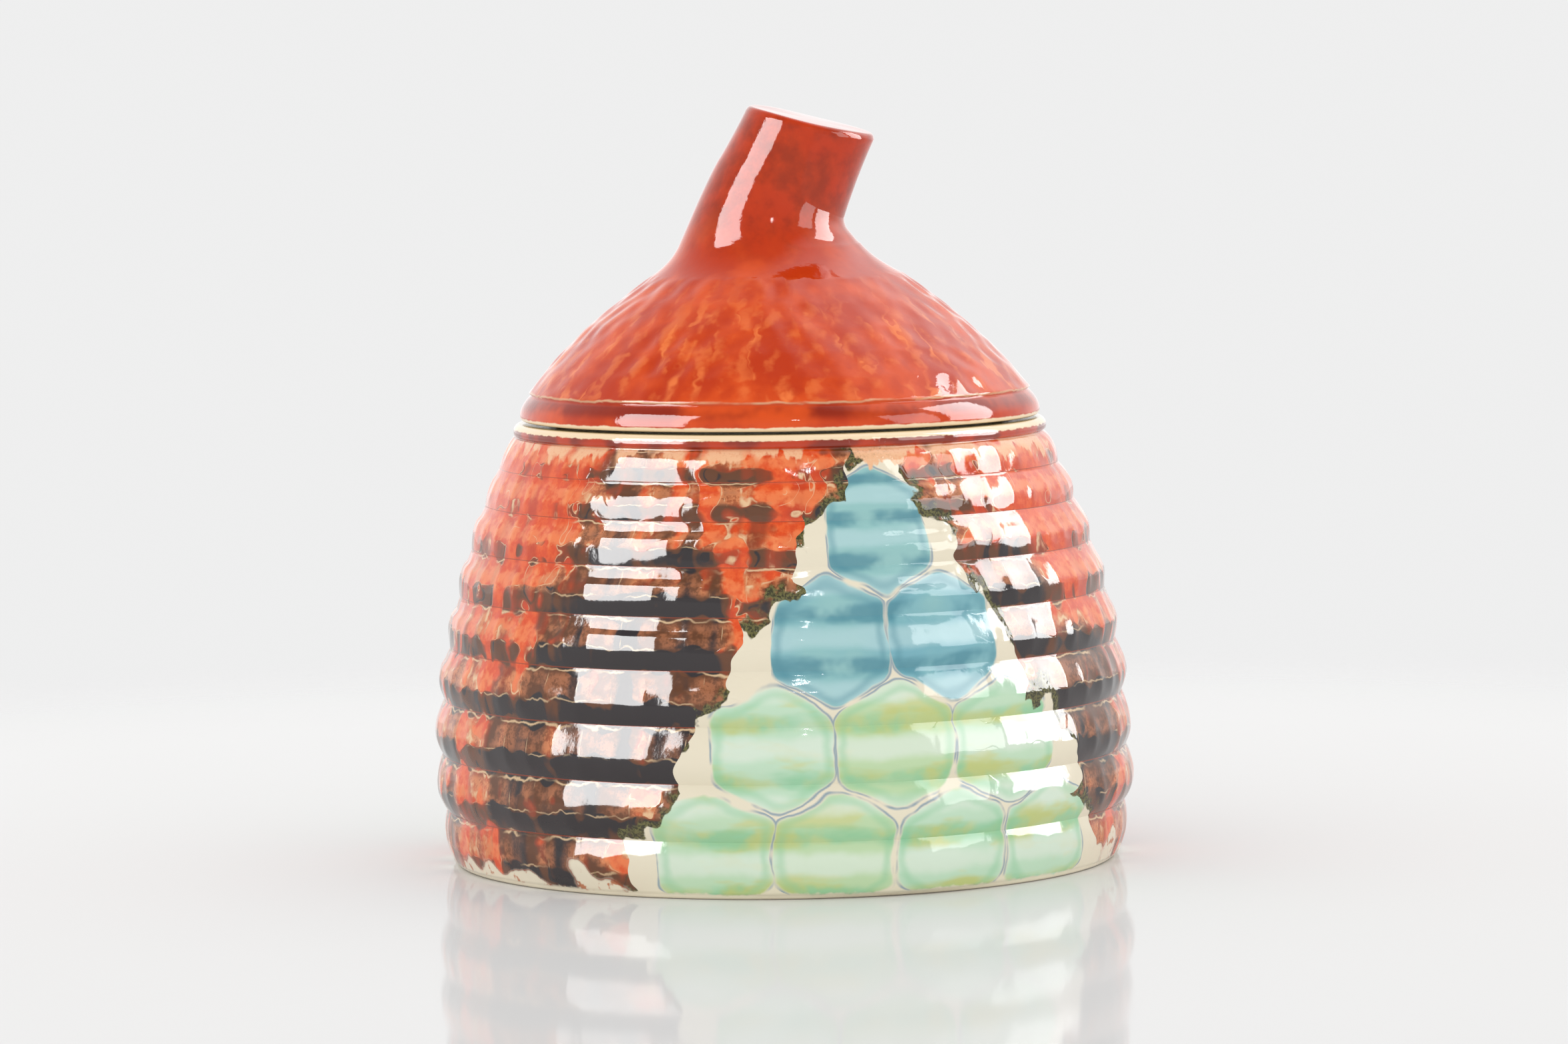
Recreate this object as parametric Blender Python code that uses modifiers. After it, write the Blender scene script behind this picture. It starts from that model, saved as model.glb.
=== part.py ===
"""Beehive honey pot: a slip-cast pot with a coiled-rib wall, and its loose lid with a bent stalk.

The pot's wall is a turned profile. A smooth skep curve carries nine stacked ribs, and the inside
follows the same curve without the ribs. The lid is lofted through round sections that start
flat on the lid's band, run up the cone and tilt over into the stalk. Its hollow is the same
row of sections, moved in by the wall. Metres, +Z up, origin at the middle of the foot.
"""
import math

import bmesh
import bpy
from mathutils import Matrix, Vector

MM = 0.001

# pot, outside
POT_HEIGHT = 55.0 * MM
BELLY_RADIUS = 43.75 * MM
BELLY_HEIGHT = 13.0 * MM
SHOULDER_RADIUS = 33.3 * MM
FOOT_RADIUS = 41.4 * MM
FOOT_DRAW_IN = 0.3 * MM
COLLAR_HEIGHT = 1.7 * MM
RIB_COUNT = 9
RIB_DEPTH = 1.1 * MM
RIB_TAPER_SHARE = 0.45
RIB_TAPER_POWER = 2.2
RIM_ROUND = 1.0 * MM
FOOT_ROUND = 0.6 * MM
FOOT_WIDTH = 4.0 * MM
FOOT_RECESS = 0.8 * MM

# pot, inside
POT_WALL = 3.6 * MM
POT_FLOOR = 3.4 * MM
INNER_CORNER = 6.0 * MM
MOUTH_ROUND = 0.8 * MM

# lid, outside
SEAT_GAP = 0.3 * MM
LID_SETBACK = 0.8 * MM
LID_EDGE_ROUND = 0.5 * MM
BAND_HEIGHT = 3.2 * MM
BAND_DRAW_IN = 1.45 * MM
THATCH_STEP = 0.25 * MM
CONE_HEIGHT = 14.5 * MM
CONE_TOP_RADIUS = 15.7 * MM
CONE_BULGE = 1.25 * MM

# stalk
STALK_RADIUS = 8.0 * MM
STALK_FLARE_LENGTH = 4.3 * MM
STALK_ROOT_HEIGHT = 3.7 * MM
STALK_ROOT_SHIFT = -1.0 * MM
STALK_BEND_RADIUS = 16.5 * MM
STALK_LEAN = math.radians(25.0)
STALK_STRAIGHT = 9.5 * MM
STALK_CUT_SLOPE = math.radians(14.0)
STALK_EDGE_ROUND = 0.6 * MM

# lid, underside
LID_WALL = 3.7 * MM
FLANGE_CLEARANCE = 0.6 * MM
FLANGE_DEPTH = 3.5 * MM
FLANGE_WIDTH = 2.7 * MM
FLANGE_ROUND = 0.8 * MM

# mesh steps
POT_SEGMENTS = 64
LID_SEGMENTS = 48
RIB_STEPS = 4
ROUND_STEPS = 3
WALL_STEPS = 8
CONE_STEPS = 6
FLARE_STEPS = 6
BEND_STEPS = 6
MERGE_DISTANCE = 0.001 * MM

# places that follow from the sizes
shoulder_height = POT_HEIGHT - COLLAR_HEIGHT
mouth_radius = SHOULDER_RADIUS - RIB_DEPTH - POT_WALL
lid_radius = SHOULDER_RADIUS - LID_SETBACK
flange_radius = mouth_radius - FLANGE_CLEARANCE
flange_inner_radius = flange_radius - FLANGE_WIDTH


def skep_radius(height):
    """Radius of the smooth curve that the crests of the ribs touch."""
    if height > BELLY_HEIGHT:
        share = (height - BELLY_HEIGHT) / (shoulder_height - BELLY_HEIGHT)
        return BELLY_RADIUS - (BELLY_RADIUS - SHOULDER_RADIUS) * share ** 2
    share = (BELLY_HEIGHT - height) / BELLY_HEIGHT
    return BELLY_RADIUS - (BELLY_RADIUS - FOOT_RADIUS - FOOT_DRAW_IN) * share ** 2


def rib_edges():
    """Heights of the grooves, from the foot up to the shoulder: the ribs get lower near the top."""
    shares = [1 - RIB_TAPER_SHARE * (i / (RIB_COUNT - 1)) ** RIB_TAPER_POWER for i in range(RIB_COUNT)]
    edges = [0.0]
    for share in shares:
        edges.append(edges[-1] + share / sum(shares) * shoulder_height)
    return edges


def arc(centre, radius, start, end, steps):
    """Points of an arc in the (radius, height) plane, angles in degrees from outward to up."""
    points = []
    for i in range(steps + 1):
        angle = math.radians(start + (end - start) * i / steps)
        points.append((centre[0] + radius * math.cos(angle), centre[1] + radius * math.sin(angle)))
    return points


def rib_points():
    """The outer wall from the shoulder down, each rib bulging out between two grooves.

    The lowest rib runs down into the foot, so its lower half draws in less.
    """
    edges = rib_edges()
    points = []
    for lower, upper in reversed(list(zip(edges, edges[1:]))):
        for i in range(RIB_STEPS):
            share = i / RIB_STEPS
            height = upper + (lower - upper) * share
            depth = FOOT_DRAW_IN if lower == 0.0 and share > 0.5 else RIB_DEPTH
            points.append((skep_radius(height) - depth * (2 * share - 1) ** 2, height))
    return points


def inner_wall_points():
    """The plain inside, from the middle of the floor up to the mouth."""
    floor = FOOT_RECESS + POT_FLOOR
    inner = POT_WALL + RIB_DEPTH
    corner_height = floor + INNER_CORNER
    corner_radius = skep_radius(corner_height) - inner
    points = [(0.0, floor)]
    points += arc((corner_radius - INNER_CORNER, corner_height), INNER_CORNER, -90, 0, 2 * ROUND_STEPS)
    for i in range(1, WALL_STEPS + 1):
        height = corner_height + (shoulder_height - corner_height) * i / WALL_STEPS
        points.append((skep_radius(height) - inner, height))
    return points


def pot_profile():
    """Closed half section: up the inside, over the rim, down the ribs and under the foot."""
    points = inner_wall_points()
    points += arc((mouth_radius + MOUTH_ROUND, POT_HEIGHT - MOUTH_ROUND), MOUTH_ROUND, 180, 90, ROUND_STEPS)
    collar_radius = SHOULDER_RADIUS
    points += arc((collar_radius - RIM_ROUND, POT_HEIGHT - RIM_ROUND), RIM_ROUND, 90, 0, ROUND_STEPS)
    points.append((collar_radius, shoulder_height + RIB_DEPTH * RIB_TAPER_SHARE))
    points += rib_points()
    points += arc((FOOT_RADIUS - FOOT_ROUND, FOOT_ROUND), FOOT_ROUND, 0, -90, ROUND_STEPS)
    points.append((FOOT_RADIUS - FOOT_WIDTH, 0.0))
    points.append((FOOT_RADIUS - FOOT_WIDTH - FOOT_RECESS, FOOT_RECESS))
    points.append((0.0, FOOT_RECESS))
    return points


def turned(name, profile, segments):
    """Spins a profile in the XZ plane round the Z axis."""
    mesh = bpy.data.meshes.new(name)
    vertices = [(radius, 0.0, height) for radius, height in profile]
    mesh.from_pydata(vertices, [(i, i + 1) for i in range(len(vertices) - 1)], [])
    obj = bpy.data.objects.new(name, mesh)
    screw = obj.modifiers.new("turn", "SCREW")
    screw.axis = "Z"
    screw.angle = math.tau
    screw.steps = segments
    screw.render_steps = segments
    screw.use_merge_vertices = True
    screw.merge_threshold = MERGE_DISTANCE
    screw.use_smooth_shade = True
    return obj


def section(radius, height, shift=0.0, tilt=0.0, stretch=1.0):
    """One section of the lid: its radius, the place and tilt of its middle, and its stretch along X."""
    return {"radius": radius, "height": height, "shift": shift, "tilt": tilt, "stretch": stretch}


def cone_sections():
    """The lid's band, the ledge of the thatch and the cone, from the bottom up."""
    band_top_radius = lid_radius - BAND_DRAW_IN
    sections = []
    for radius, height in arc((lid_radius - LID_EDGE_ROUND, LID_EDGE_ROUND), LID_EDGE_ROUND,
                              -90, 0, ROUND_STEPS):
        sections.append(section(radius, height))
    band_bottom = LID_EDGE_ROUND
    for i in range(1, ROUND_STEPS + 1):
        share = i / ROUND_STEPS
        height = band_bottom + (BAND_HEIGHT - band_bottom) * share
        sections.append(section(lid_radius - BAND_DRAW_IN * share ** 2, height))
    for i in range(CONE_STEPS + 1):
        share = i / CONE_STEPS
        straight = (band_top_radius + THATCH_STEP) * (1 - share) + CONE_TOP_RADIUS * share
        bulge = 4 * CONE_BULGE * share * (1 - share)
        height = BAND_HEIGHT + THATCH_STEP + (CONE_HEIGHT - THATCH_STEP) * share
        sections.append(section(straight + bulge, height))
    return sections


def stalk_sections():
    """The flare above the cone, the bend and the straight end, each section square to the stalk."""
    root = BAND_HEIGHT + CONE_HEIGHT
    flare = CONE_TOP_RADIUS - STALK_RADIUS
    bend_start = root + STALK_ROOT_HEIGHT
    run = 0.0
    sections = []
    for i in range(1, FLARE_STEPS + 1):
        share = i / FLARE_STEPS
        run = STALK_ROOT_HEIGHT * share
        radius = STALK_RADIUS + flare * math.exp(-run / STALK_FLARE_LENGTH)
        sections.append(section(radius, root + run, STALK_ROOT_SHIFT * share))
    for i in range(1, BEND_STEPS + 1):
        tilt = STALK_LEAN * i / BEND_STEPS
        run = STALK_ROOT_HEIGHT + STALK_BEND_RADIUS * tilt
        radius = STALK_RADIUS + flare * math.exp(-run / STALK_FLARE_LENGTH)
        sections.append(section(radius, bend_start + STALK_BEND_RADIUS * math.sin(tilt),
                                STALK_ROOT_SHIFT + STALK_BEND_RADIUS * (1 - math.cos(tilt)), tilt))
    return sections


def stalk_end_sections(radius, length):
    """The straight end of the stalk with its slanting cut, as far up as length says."""
    bend_end = stalk_sections()[-1]
    sections = []
    for share in (0.4, 1.0):
        run = length * share
        tilt = STALK_LEAN + (STALK_CUT_SLOPE - STALK_LEAN) * share
        sections.append(section(radius, bend_end["height"] + run * math.cos(STALK_LEAN),
                                bend_end["shift"] + run * math.sin(STALK_LEAN), tilt,
                                1 / math.cos(STALK_LEAN - tilt)))
    return sections


def outer_sections():
    """The whole outside of the lid, from its lower edge to the rounded edge of the cut."""
    sections = cone_sections() + stalk_sections()
    sections += stalk_end_sections(STALK_RADIUS, STALK_STRAIGHT - STALK_EDGE_ROUND)
    top = sections[-1]
    for radius, rise in arc((STALK_RADIUS - STALK_EDGE_ROUND, 0.0), STALK_EDGE_ROUND, 0, 90, ROUND_STEPS)[1:]:
        sections.append(section(radius, top["height"] + rise * math.cos(top["tilt"]),
                                top["shift"] + rise * math.sin(top["tilt"]), top["tilt"], top["stretch"]))
    return sections


def hollow_sections():
    """The drained hollow: the cone and stalk moved in by the wall, from the flange up to its end."""
    outer = cone_sections()[-CONE_STEPS - 1:] + stalk_sections()
    sections = []
    for below, above in zip(outer, outer[1:]):
        run = above["height"] - below["height"]
        draw_in = below["radius"] - above["radius"]
        length = math.hypot(run, draw_in)
        radius = below["radius"] - LID_WALL * run / length
        height = below["height"] - LID_WALL * draw_in / length
        if radius < flange_inner_radius:
            sections.append(section(radius, height, below["shift"], below["tilt"]))
    bore = STALK_RADIUS - LID_WALL
    sections += stalk_end_sections(bore, STALK_STRAIGHT - LID_WALL)
    return sections


def flange_sections():
    """The ring that drops into the mouth, from the seat down, round its edge and up inside."""
    bottom = -FLANGE_DEPTH
    sections = [section(flange_radius, 0.0)]
    middle = bottom + FLANGE_ROUND
    for radius, height in arc((flange_radius - FLANGE_ROUND, middle), FLANGE_ROUND, 0, -90, ROUND_STEPS):
        sections.append(section(radius, height))
    for radius, height in arc((flange_inner_radius + FLANGE_ROUND, middle), FLANGE_ROUND,
                              -90, -180, ROUND_STEPS):
        sections.append(section(radius, height))
    return sections


def loft(name, sections, segments):
    """A closed body through the sections, with a flat end on the first and on the last."""
    bm = bmesh.new()
    rings = []
    for item in sections:
        place = Matrix.Translation((item["shift"], 0.0, item["height"])) @ Matrix.Rotation(item["tilt"], 4, "Y")
        ring = []
        for i in range(segments):
            angle = math.tau * i / segments
            along, across = item["radius"] * item["stretch"], item["radius"]
            point = Vector((along * math.cos(angle), across * math.sin(angle), 0.0))
            ring.append(bm.verts.new(place @ point))
        rings.append(ring)
    for lower, upper in zip(rings, rings[1:]):
        for i in range(segments):
            j = (i + 1) % segments
            bm.faces.new((lower[i], lower[j], upper[j], upper[i]))
    bm.faces.new(list(reversed(rings[0])))
    bm.faces.new(rings[-1])
    bmesh.ops.recalc_face_normals(bm, faces=bm.faces)
    mesh = bpy.data.meshes.new(name)
    bm.to_mesh(mesh)
    bm.free()
    mesh.shade_smooth()
    mesh.set_sharp_from_angle(angle=math.radians(40))
    return bpy.data.objects.new(name, mesh)


def glaze(name, colour):
    """A glossy coloured glaze."""
    material = bpy.data.materials.new(name)
    material.use_nodes = True
    shader = material.node_tree.nodes["Principled BSDF"]
    shader.inputs["Base Color"].default_value = colour
    shader.inputs["Roughness"].default_value = 0.12
    shader.inputs["Metallic"].default_value = 0.0
    return material


def make_pot():
    """The ribbed pot."""
    pot = turned("pot", pot_profile(), POT_SEGMENTS)
    pot.data.materials.append(glaze("pot_glaze", (0.72, 0.20, 0.08, 1.0)))
    return pot


def make_lid():
    """The lid with its locating flange, hollow cone and bent stalk, resting on the pot's rim."""
    sections = list(reversed(hollow_sections()))
    sections += list(reversed(flange_sections()))
    sections += outer_sections()
    lid = loft("lid", sections, LID_SEGMENTS)
    lid.location = (0.0, 0.0, POT_HEIGHT + SEAT_GAP)
    lid.data.materials.append(glaze("lid_glaze", (0.64, 0.085, 0.03, 1.0)))
    return lid


def main():
    for obj in list(bpy.data.objects):
        bpy.data.objects.remove(obj, do_unlink=True)
    collection = bpy.data.collections.new("beehive_honey_pot")
    bpy.context.scene.collection.children.link(collection)
    for obj in (make_pot(), make_lid()):
        collection.objects.link(obj)


main()
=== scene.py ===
"""Looks of the beehive honey pot: fine glazed surfaces for the pot and its lid, studio and camera.

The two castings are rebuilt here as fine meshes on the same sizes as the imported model. They carry
the moulded straw relief, and their glazes are procedural. Metres, front towards -Y. The glazes are
laid out in millimetres, and their masks run from 0 to 1.
"""

import math
from typing import NamedTuple

import bpy
import numpy as np
from mathutils import Matrix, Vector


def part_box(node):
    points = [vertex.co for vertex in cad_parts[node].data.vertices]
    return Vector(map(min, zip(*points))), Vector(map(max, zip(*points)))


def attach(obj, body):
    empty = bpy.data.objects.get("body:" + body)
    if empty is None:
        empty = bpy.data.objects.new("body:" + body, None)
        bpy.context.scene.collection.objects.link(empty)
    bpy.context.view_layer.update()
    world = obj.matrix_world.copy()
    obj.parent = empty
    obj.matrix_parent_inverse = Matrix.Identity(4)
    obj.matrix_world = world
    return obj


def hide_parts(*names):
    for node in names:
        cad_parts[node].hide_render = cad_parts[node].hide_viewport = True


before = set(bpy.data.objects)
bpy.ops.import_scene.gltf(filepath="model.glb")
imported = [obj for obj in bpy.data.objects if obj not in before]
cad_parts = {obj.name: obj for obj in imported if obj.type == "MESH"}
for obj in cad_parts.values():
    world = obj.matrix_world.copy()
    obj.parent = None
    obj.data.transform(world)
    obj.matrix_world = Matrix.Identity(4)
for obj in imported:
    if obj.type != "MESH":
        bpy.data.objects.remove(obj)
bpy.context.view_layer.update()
MM = 0.001

# sizes of the pot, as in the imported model
POT_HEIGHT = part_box("pot")[1][2]
BELLY_RADIUS = 43.75 * MM
BELLY_HEIGHT = 13.0 * MM
SHOULDER_RADIUS = 33.3 * MM
FOOT_RADIUS = 41.4 * MM
FOOT_DRAW_IN = 0.3 * MM
COLLAR_HEIGHT = 1.7 * MM
RIB_COUNT = 9
RIB_DEPTH = 1.1 * MM
RIB_TAPER_SHARE = 0.45
RIB_TAPER_POWER = 2.2
RIM_ROUND = 1.0 * MM
FOOT_ROUND = 0.6 * MM
FOOT_WIDTH = 4.0 * MM
FOOT_RECESS = 0.8 * MM
POT_WALL = 3.6 * MM
POT_FLOOR = 3.4 * MM
INNER_CORNER = 6.0 * MM
MOUTH_ROUND = 0.8 * MM

# sizes of the lid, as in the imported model
SEAT_GAP = 0.3 * MM
LID_SETBACK = 0.8 * MM
LID_EDGE_ROUND = 0.5 * MM
BAND_HEIGHT = 3.2 * MM
BAND_DRAW_IN = 1.45 * MM
THATCH_STEP = 0.25 * MM
CONE_HEIGHT = 14.5 * MM
CONE_TOP_RADIUS = 15.7 * MM
CONE_BULGE = 1.25 * MM
STALK_RADIUS = 8.0 * MM
STALK_FLARE_LENGTH = 4.3 * MM
STALK_ROOT_HEIGHT = 3.7 * MM
STALK_ROOT_SHIFT = -1.0 * MM
STALK_BEND_RADIUS = 16.5 * MM
STALK_LEAN = math.radians(25.0)
STALK_STRAIGHT = 9.5 * MM
STALK_CUT_SLOPE = math.radians(14.0)
STALK_EDGE_ROUND = 0.6 * MM
LID_WALL = 3.7 * MM
FLANGE_CLEARANCE = 0.6 * MM
FLANGE_DEPTH = 3.5 * MM
FLANGE_WIDTH = 2.7 * MM
FLANGE_ROUND = 0.8 * MM

# mesh steps, and the small rings that close the meshes on their axis
POT_SEGMENTS = 640
LID_SEGMENTS = 480
RIB_STEPS = 22
POT_INNER_RING = 0.4 * MM
LID_INNER_RING = 0.3 * MM

# ribs from the foot up: depth in millimetres of the glaze-filled groove, place of the crest in the
# rib's height, and how far the upper side is a step and a shelf instead of a bulge
GLAZED_DEPTHS = (0.90, 0.90, 0.88, 0.84, 0.76, 0.72, 0.66, 0.64, 0.42)
RIB_CRESTS = (0.42, 0.42, 0.42, 0.42, 0.40, 0.40, 0.42, 0.48, 0.70)
RIB_SHELVES = (0.0, 0.0, 0.1, 0.4, 0.9, 1.0, 0.9, 0.5, 0.0)
SHELF_START = 0.34
SHELF_LENGTH = 0.26
SHELF_VARIATION = 0.18 * MM
SHELF_EASED = 0.33 * MM
TOP_LEFT_FILL = 0.6

# hand-made relief of the pot
COLLAR_GROOVE = 0.45 * MM
COLLAR_FOOT = 0.5 * MM
STITCH_PITCH = 4.4 * MM
STITCH_WIDTH = 0.10
STITCH_HEIGHT = 0.045 * MM
ROPE_HEIGHT = 0.030 * MM
STITCH_LEAN = 0.5
STITCH_DRIFT = 0.16
STITCH_OFFSET = 0.37
RIPPLE = 0.020 * MM
RIB_WOBBLE = 0.13 * MM
BODY_WOBBLE = 0.10 * MM

# the relief is weaker where the cells are painted: degrees to each side at the foot, by how much
# that narrows, and the height where it stops narrowing
PAINTED_HALF_WIDTH = 48
PAINTED_NARROWING = 34
PAINTED_HEIGHT = 45 * MM
PAINTED_SMOOTHING = 0.6

# relief of the lid
THATCH_COURSES = 5
THATCH_PITCH = 4.3 * MM
THATCH_DEPTH = 0.11 * MM
THATCH_RIPPLE = 0.045 * MM
LOW_COURSE_SHARE = 0.45
STALK_RIPPLE = 0.05 * MM
STALK_SWELL = 0.6 * MM
STALK_SWELL_HEIGHT = 24.0 * MM
STALK_SWELL_SPREAD = 2.6 * MM
CUT_TILT = math.radians(3.0)

# painted honeycomb pyramids, in millimetres and in cells
CELLS_ROUND = 18
CELL_WIDTH = 14.66
FIRST_ROW = 5.5
PYRAMID_CELLS = 9
PYRAMID_ROWS = 4
PYRAMID_ROOM = PYRAMID_ROWS / 2 - 0.4
PYRAMID_TURN = 18.0
CELL_WARP = 0.2
CELL_CORNER = 0.12
CELL_BLUNTNESS = 0.006
CELL_SHIFT = -PYRAMID_TURN / 360 * CELLS_ROUND
HALF_CELL = 0.5
ROW_STEP = math.sqrt(3) / 2
ROW_PITCH = CELL_WIDTH * ROW_STEP

# the cream ground that the pyramids stand on ends in a stepped slope
TOP_ROW_HEIGHT = FIRST_ROW + (PYRAMID_ROWS - 1) * ROW_PITCH
HULL_SLOPE = 2 * ROW_PITCH
HULL_TOP = TOP_ROW_HEIGHT + 9.0
HULL_MARGIN = 0.62
HULL_STEPS = 0.55
HULL_ROUND = 4.0

# dark glaze patches: degrees from the front, half width in degrees, middle height, half height, strength
DARK_PATCHES = (
    (-33, 14, 26, 26, 1.0), (-45, 14, 12, 19, 0.95), (-30, 9, 48, 9, 0.75), (-12, 10, 44, 13, 0.62),
    (-17, 10, 28, 20, 1.0), (30, 9, 44, 11, 0.75), (45, 9, 34, 10, 0.9), (60, 17, 20, 13, 1.0),
    (104, 12, 18, 12, 0.9), (130, 18, 36, 20, 1.0), (154, 16, 46, 10, 0.7), (-76, 11, 9, 9, 0.75),
    (-92, 10, 34, 11, 0.6), (-116, 20, 24, 20, 1.0), (-146, 15, 38, 16, 0.85), (178, 17, 48, 8, 0.8),
)
PATCH_EDGE = (0.55, 1.35)

# heights in millimetres at which a glaze starts and is full: on the pot above the table
FOOT_CREAM = (0.9, 0.5)
FOOT_LOBES = (2.2, 1.2)
COLLAR_TEETH = (52.0, 52.5)
COLLAR_TEETH_END = (53.5, 53.2)
COLLAR_GLAZE = (53.15, 53.45)
RIM_CREAM = (54.20, 54.38)
RIM_SEAT = (54.90, 54.98)

# and on the lid above its seat
LID_SEAT = (0.06, 0.02)
LID_CREAM = (0.62, 0.42)
BAND_START = (1.0, 2.2)
BAND_END = (3.3, 2.7)
LEDGE_LINE = 3.45
LEDGE_LINE_WIDTH = 0.24
STRAW_LIGHT = (16.5, 12.0)
STALK_GLAZE = (17.0, 26.0)

# surface of the glaze
POT_AROUND = 40.0
LID_AROUND = 20.0
GLAZE_IOR = 1.55
LID_IOR = 1.42
COAT_ROUGHNESS = 0.03
POT_RELIEF = 0.16 * MM
LID_RELIEF = 0.08 * MM
INSIDE_RELIEF = 0.06 * MM
CLAY_RELIEF = 0.08 * MM

# camera, as fitted to the photograph
CAMERA_HEIGHT = 102.1 * MM
CAMERA_DISTANCE = 787.0 * MM
CAMERA_ASIDE = 0.35 * MM
CAMERA_PITCH = math.radians(4.366)
CAMERA_ROLL = math.radians(0.848)
CAMERA_LENS = 144.67
CAMERA_SENSOR = 36.0
CAMERA_NEAR = 0.05

# table: half its side, its matte and polished colours, and the distances in millimetres over which
# it fades into the backdrop
TABLE_HALF = 1.2
TABLE_GAP = 0.02 * MM
TABLE_COLOUR = (0.86, 0.855, 0.85, 1.0)
TABLE_POLISH = 0.42
TABLE_TOP = (0.50, 0.50, 0.495, 1.0)
TABLE_TOP_LIGHT = (0.53, 0.53, 0.525, 1.0)
TABLE_FADE = (160.0, 270.0)

# surroundings: a light for matte surfaces, and a gradient that shows in the glaze. The ranges are
# of the direction's height, of its depth, and of its nearness to one part of the ceiling.
SURROUND_LIGHT = 1.05
HORIZON_GLOSS = 0.72
OVERHEAD_GLOSS = 0.35
OVERHEAD_RANGE = (0.25, 0.85)
BACKDROP_WHITE = 0.86
BACKDROP_GLOW = 0.53
BACKDROP_RANGE = (-0.10, 0.80)
CEILING_GLOW = 1.3
CEILING_DIRECTION = (0.56, 0.34, 0.755)
CEILING_RANGE = (0.72, 0.98)
WHITE = (1.0, 1.0, 1.0, 1.0)

# lamps: name, azimuth and elevation in degrees, distance, width and height in metres, radiance, and
# roll in degrees
LAMP_AIM_HEIGHT = 40.0 * MM
SOFTBOXES = (
    ("left_softbox", -60, 24, 0.7, 0.42, 0.66, 13.5, 10),
    ("right_softbox_near", 62, 20, 0.7, 0.28, 0.50, 4.2, 0),
    ("right_softbox_far", 96, 24, 0.7, 0.34, 0.64, 11.0, -13),
    ("small_lamp", 8, 36, 0.9, 0.03, 0.03, 40.0, 0),
)


# sizes that follow from the others
shoulder_height = POT_HEIGHT - COLLAR_HEIGHT
mouth_radius = SHOULDER_RADIUS - RIB_DEPTH - POT_WALL
lid_radius = SHOULDER_RADIUS - LID_SETBACK
flange_radius = mouth_radius - FLANGE_CLEARANCE
flange_inner_radius = flange_radius - FLANGE_WIDTH
seat_height = POT_HEIGHT + SEAT_GAP

# material slots on each piece
OUTSIDE, INSIDE, BISCUIT = 0, 1, 2

# numbers of the two inputs and of the output that a Mix node uses for each kind of data
MIX_SOCKETS = {"FLOAT": (2, 3, 0), "VECTOR": (4, 5, 1), "RGBA": (6, 7, 2)}


def wave(angle, seed, terms=6, lowest=1):
    """A smooth random curve round the axis, about -1 to 1, without a seam."""
    random = np.random.RandomState(seed)
    total = np.zeros_like(angle)
    for i in range(terms):
        total += random.uniform(0.4, 1.0) * np.cos((lowest + i) * angle + random.uniform(0, math.tau))
    return total / math.sqrt(terms)


def ripple(angle, height, seed, count, lowest, highest, wavelength):
    """A random wavy field over angle and height, about -1 to 1, without a seam."""
    random = np.random.RandomState(seed)
    total = 0.0
    for _ in range(count):
        turns = random.randint(lowest, highest + 1) * random.choice([-1, 1])
        rise = random.uniform(0.2, 1.0) * math.tau / wavelength
        total = total + np.cos(turns * angle[None, :] + rise * height + random.uniform(0, math.tau))
    return total * math.sqrt(0.5 / count) * 1.2


def smooth(share):
    """The share held between 0 and 1, with soft ends."""
    share = np.clip(share, 0, 1)
    return share * share * (3 - 2 * share)


def skep_radius(height):
    """Radius of the smooth curve that the crests of the ribs touch."""
    if height > BELLY_HEIGHT:
        share = (height - BELLY_HEIGHT) / (shoulder_height - BELLY_HEIGHT)
        return BELLY_RADIUS - (BELLY_RADIUS - SHOULDER_RADIUS) * share ** 2
    share = (BELLY_HEIGHT - height) / BELLY_HEIGHT
    return BELLY_RADIUS - (BELLY_RADIUS - FOOT_RADIUS - FOOT_DRAW_IN) * share ** 2


def rib_edges():
    """Heights of the grooves, from the foot up to the shoulder."""
    shares = [1 - RIB_TAPER_SHARE * (i / (RIB_COUNT - 1)) ** RIB_TAPER_POWER for i in range(RIB_COUNT)]
    edges = [0.0]
    for share in shares:
        edges.append(edges[-1] + share / sum(shares) * shoulder_height)
    return edges


def arc(centre, radius, start, end, steps):
    """Points of an arc in the (radius, height) plane, angles in degrees from outward to up."""
    angles = np.radians(np.linspace(start, end, steps + 1))
    return [(centre[0] + radius * math.cos(a), centre[1] + radius * math.sin(a)) for a in angles]


class Row(NamedTuple):
    """One ring of a casting: its section, its slot, and where it lies in its rib or course."""
    radius: float
    height: float
    slot: int
    rib: int = -1
    share: float = 0.0
    shift: float = 0.0
    tilt: float = 0.0
    stretch: float = 1.0
    lean: float = 0.0


def rows_from(points, slot):
    """Plain rings through the points of a section."""
    return [Row(radius, height, slot) for radius, height in points]


def line(start, end, steps):
    """Points of a straight run, without its first point."""
    shares = [i / steps for i in range(1, steps + 1)]
    return [(start[0] + (end[0] - start[0]) * s, start[1] + (end[1] - start[1]) * s) for s in shares]


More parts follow.
